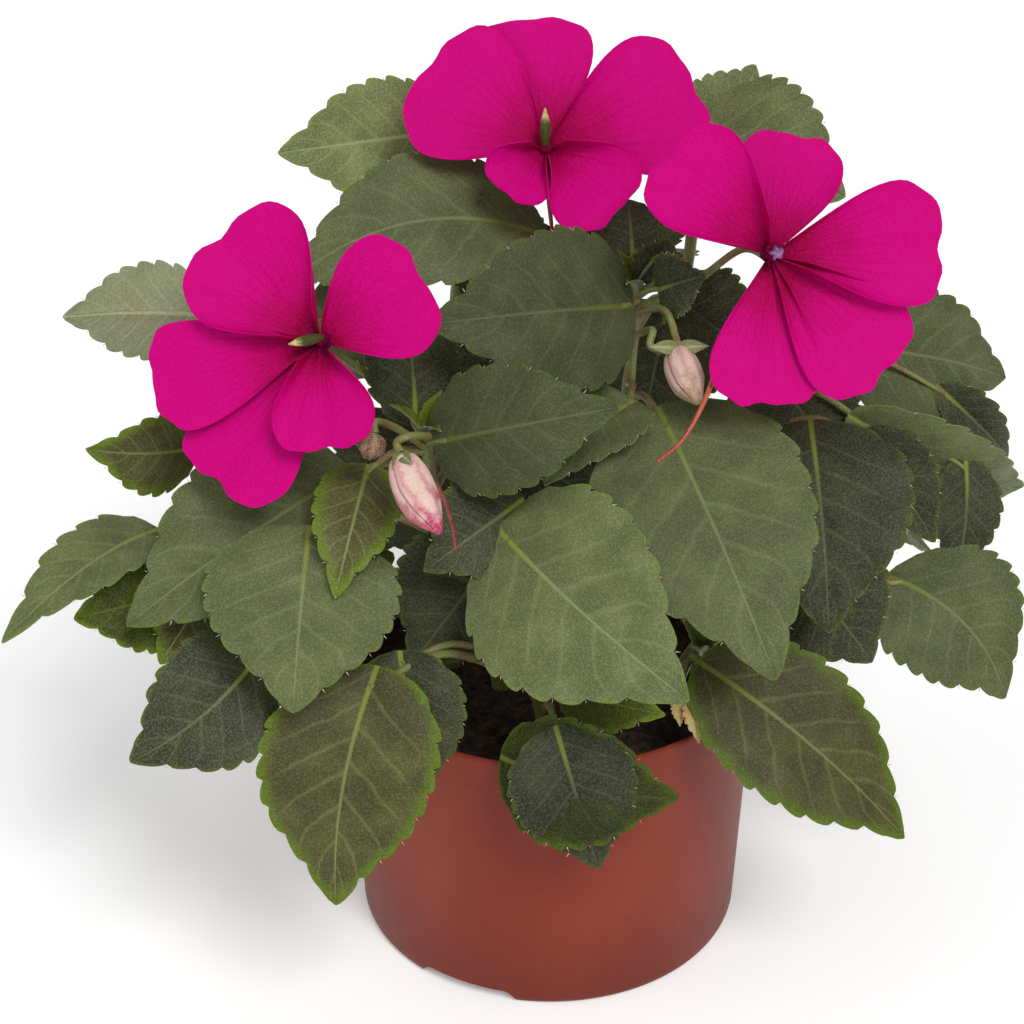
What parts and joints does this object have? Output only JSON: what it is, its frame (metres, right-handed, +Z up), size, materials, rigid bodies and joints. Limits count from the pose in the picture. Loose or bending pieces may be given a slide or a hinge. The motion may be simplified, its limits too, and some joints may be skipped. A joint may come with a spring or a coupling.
{
  "type": "busy lizzie in a nursery pot",
  "caption": "Busy lizzie with broad toothed leaves, magenta blooms and pink buds, growing in a round terracotta-coloured plastic nursery pot.",
  "frame": {"origin": "on the pot's axis at the ground, under the middle of the plant", "axes": "+Z up, +X to the right of the side that shows the blooms, +Y away from that side"},
  "size_m": [0.2466, 0.1511, 0.2261],
  "materials": {
    "pot_plastic": "satin",
    "peat": "matte",
    "leaf": "satin",
    "petal": "satin",
    "capsule": "satin",
    "spur": "satin",
    "bud": "satin",
    "dry_bud": "matte"
  },
  "bodies": {
    "root": {"bloom_left_capsule": "capsule", "bloom_left_petals": "petal", "bloom_left_spur": "spur", "bloom_right_capsule": "capsule", "bloom_right_petals": "petal", "bloom_right_spur": "spur", "bloom_top_capsule": "capsule", "bloom_top_petals": "petal", "bloom_top_spur": "spur", "bud_dry": "dry_bud", "bud_pale": "bud", "bud_pink": "bud", "pot": "pot_plastic", "shoot_back_left": "leaf", "shoot_back_right": "leaf", "shoot_far_left": "leaf", "shoot_front": "leaf", "shoot_front_right": "leaf", "shoot_left": "leaf", "shoot_right": "leaf", "shoot_top": "leaf", "soil": "peat"}
  },
  "joints": []
}
